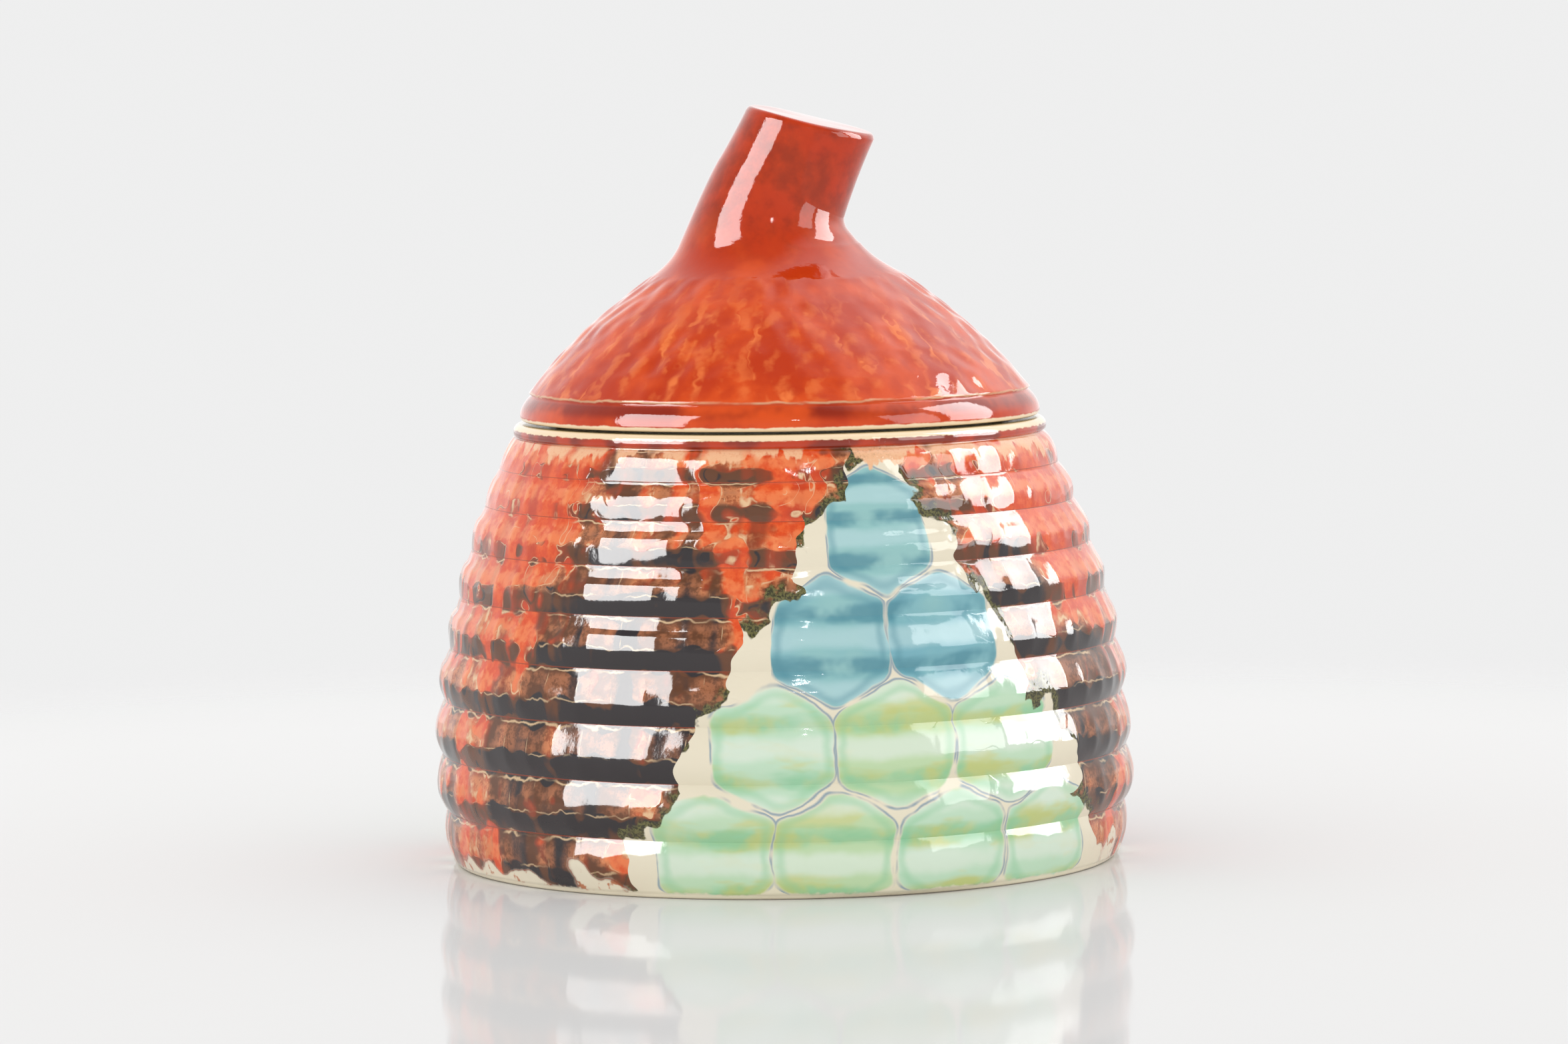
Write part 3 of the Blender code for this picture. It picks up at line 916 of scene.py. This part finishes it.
def painted_cells(s, edge, cell, row_index, chance):
    """Colours of the honeycomb: brushed washes, pooled tints in the grooves, pale crests partly painted as
    highlight, thin broken outlines.
    """
    brush = s.noise(s.around(POT_AROUND, 2.6, 5.0), 0.1, 3.0, 0.55)
    cloud = s.noise(s.place, 0.16, 3.0, 0.5)
    groove = (s.rib_place(0.06) + (brush - 0.5) * 3.0).step(0.0, 1.1)
    # paler on the upper part of each rib: thin paint there, and a painted highlight where light falls on
    # the crests
    crest = (s.rib_place(0.62) + (cloud - 0.5) * 2.0).step(-0.1, 1.0)
    green = s.blend(chance.step(0.35, 0.65), MINT, GREEN)
    green = s.blend(brush.step(0.5, 0.62) * 0.7, green, YELLOW_GREEN)
    pooled = s.blend(cloud.step(0.42, 0.58), MINT_POOL, GREEN_POOL)
    green = s.blend(groove * 0.75, green, pooled)
    green = s.blend(crest * 0.75, green, PALE_GREEN_AND_SHEEN)
    blue = s.blend((chance + cloud * 0.6).step(0.5, 1.0), TEAL, TEAL_MID)
    blue = s.blend(groove * cloud.step(0.38, 0.55) * 0.8, blue, TEAL_DEEP)
    blue = s.blend(crest * 0.6, blue, PALE_BLUE_AND_SHEEN)
    upper = (row_index + chance * 0.9).step(1.6, 2.3)
    wash = s.blend(upper, green, blue)
    rim = (edge + (brush - 0.5) * 1.5).bell(1.0, 0.9) * 0.4
    wash = s.blend(rim, wash, s.blend(upper, MINT_POOL, TEAL_DEEP))
    painted = (edge + (cloud - 0.5) * 1.6).step(0.1, 0.5) * cell
    colour = s.blend(painted, CREAM, wash)
    outline = ((edge + (cloud - 0.5) * 1.3).bell(0.12, 0.24)
               * s.noise(s.place, 0.22, 2.0, 0.5).step(0.38, 0.54) * cell * 0.8)
    return s.blend(outline, colour, LINE_BLUE)


def darkness(s, pool_and_shade, drip, streak, cloud, mottle, above):
    """How dark the runny glaze is, from about 0 in the orange to 1 in the black."""
    brim = (above + (cloud - 0.5) * 14.0).step(9.0, 1.5) * 0.8
    base = (s.z + (cloud - 0.5) * 30.0).step(52.0, 26.0, 0.05, 0.46)
    dark = s.highest(dark_patches(s, cloud), brim, base)
    drips = drip.step(0.54, 0.68) * (1.0 - brim * 1.1)
    column = drip.bell(0.46, 0.06) * pool_and_shade * cloud.step(0.4, 0.54)
    # the lower faces of the ribs go darker: pooled glaze under the dark glaze, painted shade on the orange
    run = dark * 0.82 + pool_and_shade * 0.38 - drips * 0.74 + drips * dark * 0.56 + column * 0.42
    return run + (cloud - 0.5) * 0.65 + (mottle - 0.5) * 0.14 + (streak - 0.5)


def orange_glaze(s, pool_and_shade, streak, cloud, mottle, grain):
    """Colours of the orange glaze: deep runs, and pale straw where it is thin on the crests."""
    colour = s.blend((mottle + grain * 0.4).step(0.56, 0.84), ORANGE, ORANGE_BRIGHT)
    # the deep runs are a little deeper on the lower faces of the ribs, which is painted shade
    deep = (cloud * 0.5 + streak * 0.5 + pool_and_shade * 0.1).step(0.48, 0.66)
    colour = s.blend(deep * 0.8, colour, ORANGE_DEEP)
    crest = s.rib_place(0.6)
    straw = (s.attribute("stitch").step(0.15, 0.75) * crest.step(-0.5, 0.5) * mottle.step(0.4, 0.62)
             * 0.75)
    colour = s.blend(straw, colour, ORANGE_PALE)
    worn = (crest * 0.35 + mottle * 0.9 + cloud * 0.5).step(0.72, 1.1)
    return s.blend(worn * 0.55, colour, ORANGE_PALE)


def pale_lines(s, run, drip, crest, cloud, mottle):
    """Thin pale lines where one glaze ends on the other, along the ribs and on the stitches."""
    broken = s.noise(s.place, 0.5, 1.0, 0.4)
    ragged = (broken - 0.5) * 1.3 + (mottle - 0.5) * 0.5
    outline = run.bell(0.4, 0.06) * cloud.step(0.4, 0.54) * broken.step(0.46, 0.58)
    upper = ((s.rib_place(0.7) + ragged).bell(0.0, 0.22) * s.rib_place(0.95).step(0.0, 0.4)
             * cloud.step(0.38, 0.54) * run.step(0.1, 0.45))
    lower = ((s.rib_place(0.17) + ragged).bell(0.0, 0.16) * s.rib_place(0.42).step(0.0, 0.4)
             * cloud.step(0.54, 0.44) * run.step(0.45, 0.7) * 0.7)
    ridge = (s.attribute("stitch").step(0.86, 0.98) * crest * cloud.step(0.44, 0.56)
             * run.step(0.3, 0.5) * 0.8)
    vein = drip.bell(0.5, 0.014) * cloud.step(0.5, 0.6) * run.step(0.5, 0.3) * 0.7
    return s.highest(outline, upper, lower, ridge, vein)


def runny_glaze(s, pool_and_shade, drip, cloud, mottle, grain, above):
    """The orange glaze with the dark one that runs over and under it: its colour and its darkness."""
    streak = s.noise(s.around(POT_AROUND, 0.14, 9.0), 0.36, 1.5, 0.45)
    run = darkness(s, pool_and_shade, drip, streak, cloud, mottle, above)
    colour = orange_glaze(s, pool_and_shade, streak, cloud, mottle, grain)
    for start, full, darker in ((0.26, 0.5, RUST), (0.44, 0.66, BROWN), (0.72, 0.98, BLACK)):
        colour = s.blend(run.step(start, full), colour, darker)
    crest = s.rib_place(0.66).step(-0.2, 0.6)
    patch = (cloud + mottle * 0.5).step(0.6, 0.84)
    speckle = (mottle + grain * 0.9).step(0.78, 1.06, 0.35, 1.0)
    tan = (crest * patch * speckle * run.step(0.2, 0.42) * run.step(1.0, 0.8)
           * run.step(0.4, 0.8, 0.9, 0.6))
    colour = s.blend(tan, colour, s.blend(run.step(0.45, 0.75), TAN, TAN_DEEP))
    lines = pale_lines(s, run, drip, crest, cloud, mottle)
    colour = s.blend(lines * 0.85, colour, CREAM_LINE)
    seam = s.rib_place(0.0).step(0.985, 0.997) * s.attribute("on_rib") * 0.8
    return s.blend(seam, colour, RUST), run


def bare_foot(s, colour, above, mottle):
    """Adds the cream lobes that the glaze leaves bare low down, and the cream edge of the foot."""
    lobe = s.noise(s.around(POT_AROUND, 0.8, 3.0), 0.24, 0.0, 0.5)
    bare = (s.z + (lobe - 0.5) * 11.0 + (mottle - 0.5) * 0.8).step(*FOOT_LOBES)
    bare = bare * above.step(0.0, 0.5)
    colour = s.blend(bare, colour, s.blend(mottle.step(0.56, 0.7), CREAM, TAN_DEEP))
    colour = s.blend(bare.bell(0.45, 0.3) * 0.7, colour, RUST)
    return s.blend((s.z + (mottle - 0.5) * 0.8).step(*FOOT_CREAM), colour, CREAM)


def collar_and_rim(s, colour, drop, cloud, mottle, grain):
    """Adds pale teeth under the collar, the collar's own glaze, the cream rim, and the seat's tan of stain
    and painted shade.
    """
    fringe = s.noise(s.around(POT_AROUND, 0.2, 5.0), 0.55, 2.0, 0.6)
    teeth = (s.z - (fringe - 0.5) * 5.0 - (drop - 0.5) * 5.0 + (mottle - 0.5) * 1.6).step(*COLLAR_TEETH)
    teeth = (teeth * s.z.step(*COLLAR_TEETH_END) * cloud.step(0.4, 0.52)
             * grain.step(0.15, 0.55, 0.6, 1.0))
    colour = s.blend(teeth, colour, PEACH)
    glaze = s.blend(cloud.step(0.42, 0.6), RED_BROWN, ORANGE_DEEP)
    colour = s.blend(s.z.step(*COLLAR_GLAZE), colour, glaze)
    colour = s.blend((s.z + (mottle - 0.5) * 0.5).step(*RIM_CREAM), colour, CREAM_EDGE)
    # the rim's seat is tan: partly a stain, partly painted shade of the gap under the lid
    return s.blend(s.z.step(*RIM_SEAT), colour, SEAT_STAIN_AND_SHADE)


def pot_glaze():
    """The pot's outside: painted honeycomb, runny glaze round it, cream at the foot and the rim."""
    s = Shader("pot_runny_glaze")
    cloud = s.noise(s.place, 0.22, 1.5, 0.5)
    mottle = s.noise(s.place, 0.9, 2.0, 0.5)
    grain = s.noise(s.place, 3.2, 2.0, 0.6)
    sway = s.noise(s.place, 0.13, 2.0, 0.5) - 0.5
    zigzag = sway * 8.0 + s.attribute("rib_sin") * 0.7
    zigzag = s.vector("ADD", s.around(POT_AROUND, 0.13), s.combine(zigzag, zigzag, 0.0))
    drip = s.noise(zigzag, 0.32, 0.0, 0.5)
    lobes = s.noise(s.place, 0.34, 0.0, 0.5)
    # darker on the lower face of each rib: pooled dark glaze where the glaze is dark, painted shade on the
    # orange
    pool_and_shade = ((s.rib_place(0.19) + (lobes - 0.5) * 2.6).step(0.0, 0.45) * s.attribute("on_rib")
            * s.z.step(28.0, 48.0, 1.0, 0.5) * s.z.step(5.0, 13.0, 0.5, 1.0))
    hull, edge, cell, row_index, chance = honeycomb(s)
    paintwork = painted_cells(s, edge, cell, row_index, chance)
    drop = s.noise(s.around(POT_AROUND, 0.35, 17.0), 0.13, 3.0, 0.55)
    above = s.z - hull + (drop - 0.5) * 10.0 + (cloud - 0.5) * 12.0 + (mottle - 0.5) * 1.5
    glaze, run = runny_glaze(s, pool_and_shade, drip, cloud, mottle, grain, above)
    border = s.blend(grain.step(0.4, 0.6), OLIVE, OLIVE_LIGHT)
    colour = s.blend(above.step(0.0, 0.4), paintwork, border)
    over = above + (mottle - 0.5) * 5.0 + (s.noise(s.place, 0.4, 1.0, 0.5) - 0.5) * 6.0
    colour = s.blend(over.step(1.2, 3.0), colour, glaze)
    colour = bare_foot(s, colour, above, mottle)
    colour = collar_and_rim(s, colour, drop, cloud, mottle, grain)
    relief = above.step(0.0, 2.0) * 0.5 - run.step(0.4, 0.7) * 0.12 + mottle * 0.07 + grain * 0.02
    return s.finish(colour, grain.step(0.2, 0.8, 0.04, 0.1), relief, POT_RELIEF, coat=0.0)


def lid_glaze():
    """The lid's outside: orange-red glaze, thin and light on the straw, deep red in its dents."""
    s = Shader("lid_red_glaze")
    straw, on_thatch = s.attribute("straw"), s.attribute("on_thatch")
    cloud = s.noise(s.place, 0.13, 3.0, 0.55)
    sway = s.noise(s.place, 0.35, 2.0, 0.6) - 0.5
    fan = s.combine(sway * 3.5, sway * 2.5, 0.0)
    streak = s.noise(s.vector("ADD", s.around(LID_AROUND, 0.5), fan), 0.5, 1.0, 0.5, 0.4)
    mottle = s.noise(s.place, 0.45, 3.0, 0.6)
    grain = s.noise(s.place, 3.0, 2.0, 0.6)
    local = s.z - seat_height / MM
    colour = s.blend(cloud.step(0.35, 0.65), LID_ORANGE, LID_RED)
    blotch = (straw * 0.12 + streak + mottle * 0.5).step(0.74, 1.0)
    tall = s.combine(sway * 2.5, sway * 3.5, 0.0)
    tall = s.noise(s.vector("ADD", s.around(LID_AROUND, 0.22), tall), 0.62, 0.5, 0.5)
    flame = tall.step(0.56, 0.7) * streak.step(0.38, 0.6)
    light = s.highest(blotch * 0.55, flame) * local.step(*STRAW_LIGHT, 0.25, 1.0) * on_thatch * 0.85
    colour = s.blend(light, colour, LID_LIGHT)
    dent = (straw * -0.2 + mottle * 0.8 - streak * 0.3).step(0.22, 0.55)
    colour = s.blend(dent * on_thatch * 0.5, colour, LID_RED)
    depth = (cloud * 0.7 + mottle * 0.5).step(0.42, 0.72)
    stalk = (local + (cloud - 0.5) * 12.0).step(*STALK_GLAZE) * 0.75
    colour = s.blend(stalk, colour, s.blend(depth, LID_DARK, LID_RED))
    ledge = (local + (streak - 0.5) * 0.7).bell(LEDGE_LINE, LEDGE_LINE_WIDTH)
    colour = s.blend(ledge * cloud.step(0.3, 0.48) * 0.7, colour, CREAM_LINE)
    band = local.step(*BAND_END) * local.step(*BAND_START) * cloud.step(0.3, 0.6) * 0.8
    colour = s.blend(band, colour, LID_DARK)
    colour = s.blend((local + (mottle - 0.5) * 0.5).step(*LID_CREAM), colour, CREAM_EDGE)
    # the lid's seat is tan: partly a stain, partly painted shade of the gap over the rim
    colour = s.blend(local.step(*LID_SEAT), colour, SEAT_STAIN_AND_SHADE)
    relief = mottle * 0.35 + grain * 0.04
    roughness = grain.step(0.2, 0.8, 0.035, 0.07)
    return s.finish(colour, roughness, relief, LID_RELIEF, coat=0.0, ior=LID_IOR)


def cream_inside(name):
    """Clear glaze over the cream body, with faint pooling and a few iron specks."""
    s = Shader(name)
    cloud = s.noise(s.place, 0.07, 3.0, 0.5)
    speck = s.noise(s.place, 1.1, 1.0, 0.4).step(0.76, 0.8)
    colour = s.blend(cloud.step(0.35, 0.65), CREAM_INSIDE, CREAM_POOLED)
    colour = s.blend(speck * 0.6, colour, BROWN)
    return s.finish(colour, cloud.step(0.3, 0.7, 0.07, 0.15), s.noise(s.place, 0.5, 2.0), INSIDE_RELIEF)


def bare_clay():
    """The unglazed foot ring: fine, dry, slightly stained clay."""
    s = Shader("bare_foot_clay")
    grain = s.noise(s.place, 3.5, 4.0, 0.65)
    stain = s.noise(s.place, 0.25, 3.0, 0.5)
    colour = s.blend(grain.step(0.3, 0.7), CLAY, CLAY_GRAIN)
    colour = s.blend(stain.step(0.5, 0.75) * 0.5, colour, CLAY_STAIN)
    return s.finish(colour, grain.step(0.3, 0.7, 0.55, 0.75), grain, CLAY_RELIEF, coat=0.0)


def make_camera():
    """The camera that the photograph was taken from, as fitted to the pot's outline."""
    data = bpy.data.cameras.new("photo_camera")
    data.lens = CAMERA_LENS
    data.sensor_width = CAMERA_SENSOR
    data.clip_start = CAMERA_NEAR
    camera = bpy.data.objects.new("photo_camera", data)
    turn = Matrix.Rotation(math.pi / 2 - CAMERA_PITCH, 4, "X") @ Matrix.Rotation(-CAMERA_ROLL, 4, "Z")
    camera.matrix_world = Matrix.Translation((CAMERA_ASIDE, -CAMERA_DISTANCE, CAMERA_HEIGHT)) @ turn
    bpy.context.scene.collection.objects.link(camera)
    bpy.context.scene.camera = camera


def make_world():
    """Even white surroundings, and a soft gradient that shows only in the glaze."""
    world = bpy.data.worlds.new("studio")
    world.use_nodes = True
    w = Nodes(world.node_tree)
    direction = w.out("ShaderNodeTexCoord", "Generated")
    _, depth, rise = w.split(direction)
    overhead = rise.ramp(*OVERHEAD_RANGE, HORIZON_GLOSS, OVERHEAD_GLOSS)
    behind = depth.ramp(*BACKDROP_RANGE, 0.0, BACKDROP_GLOW)
    facing = w.vector("DOT_PRODUCT", direction, CEILING_DIRECTION)
    ceiling = facing.step(*CEILING_RANGE, 0.0, CEILING_GLOW)
    mirrored = w.out("ShaderNodeLightPath", "Is Glossy Ray")
    seen = w.out("ShaderNodeLightPath", "Is Camera Ray")
    strength = w.mix("FLOAT", mirrored, SURROUND_LIGHT, overhead + behind + ceiling)
    strength = w.mix("FLOAT", seen, strength, BACKDROP_WHITE)
    background = w.tree.nodes["Background"]
    w.feed(background.inputs["Color"], WHITE)
    w.feed(background.inputs["Strength"], strength)
    bpy.context.scene.world = world


def softbox(lit, name, azimuth, elevation, distance, width, height, radiance, roll):
    """A lamp panel that shines on the lit pieces. Azimuth is to the right of the camera, in degrees."""
    data = bpy.data.lights.new(name, "AREA")
    data.shape = "RECTANGLE"
    data.size, data.size_y = width, height
    data.energy = radiance * width * height * math.pi
    lamp = bpy.data.objects.new(name, data)
    aim = Matrix.Translation((0, 0, LAMP_AIM_HEIGHT))
    turn = Matrix.Rotation(math.radians(azimuth), 4, "Z")
    rise = Matrix.Rotation(math.pi / 2 - math.radians(elevation), 4, "X")
    lean = Matrix.Rotation(math.radians(roll), 4, "Z")
    lamp.matrix_world = aim @ turn @ rise @ Matrix.Translation((0, 0, distance)) @ lean
    lamp.visible_diffuse = False
    lamp.visible_camera = False
    lamp.light_linking.receiver_collection = lit
    bpy.context.scene.collection.objects.link(lamp)


def make_softboxes(pieces):
    """The lamps, which light only the pieces and show as highlights in their glaze."""
    lit = bpy.data.collections.new("lit_by_softboxes")
    for piece in pieces:
        lit.objects.link(piece)
    for values in SOFTBOXES:
        softbox(lit, *values)


def make_floor():
    """A glossy pale table top that fades into the backdrop."""
    half = TABLE_HALF
    corners = [(-half, -half), (half, -half), (half, half), (-half, half)]
    mesh = bpy.data.meshes.new("table_top")
    mesh.from_pydata([(x, y, -TABLE_GAP) for x, y in corners], [], [(0, 1, 2, 3)])
    floor = bpy.data.objects.new("table_top", mesh)
    bpy.context.scene.collection.objects.link(floor)
    s = Shader("white_table")
    smear = s.noise(s.place, 0.02, 3.0, 0.5)
    s.feed(s.surface.inputs["Base Color"], s.blend(smear, TABLE_TOP, TABLE_TOP_LIGHT))
    s.feed(s.surface.inputs["Roughness"], smear.step(0.3, 0.7, 0.05, 0.09))
    fade = s.vector("LENGTH", s.place).step(*TABLE_FADE)
    seen = s.out("ShaderNodeLightPath", "Is Camera Ray")
    clear = s.out("ShaderNodeBsdfTransparent", 0)
    matte = s.out("ShaderNodeBsdfDiffuse", 0, {"Color": TABLE_COLOUR})
    glossy = Value(s, s.surface.outputs[0])
    table = s.out("ShaderNodeMixShader", 0, {0: seen * TABLE_POLISH, 1: matte, 2: glossy})
    mixed = s.out("ShaderNodeMixShader", 0, {0: fade * seen, 1: table, 2: clear})
    s.feed(s.tree.nodes["Material Output"].inputs["Surface"], mixed)
    floor.data.materials.append(s.material)


def dress(piece, body, node, materials):
    """Gives a piece its materials and says what it stands for."""
    for material in materials:
        piece.data.materials.append(material)
    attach(piece, body)
    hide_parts(node)


def main():
    """Builds the camera, the table, the two pieces and the light."""
    make_camera()
    make_floor()
    pot, lid = make_pot(), make_lid()
    pot_materials = [pot_glaze(), cream_inside("pot_inside_glaze"), bare_clay()]
    dress(pot, "pot_body", "pot", pot_materials)
    dress(lid, "lid_body", "lid", [lid_glaze(), cream_inside("lid_inside_glaze")])
    make_world()
    make_softboxes([pot, lid])
    bpy.context.scene.view_settings.view_transform = "Standard"


main()
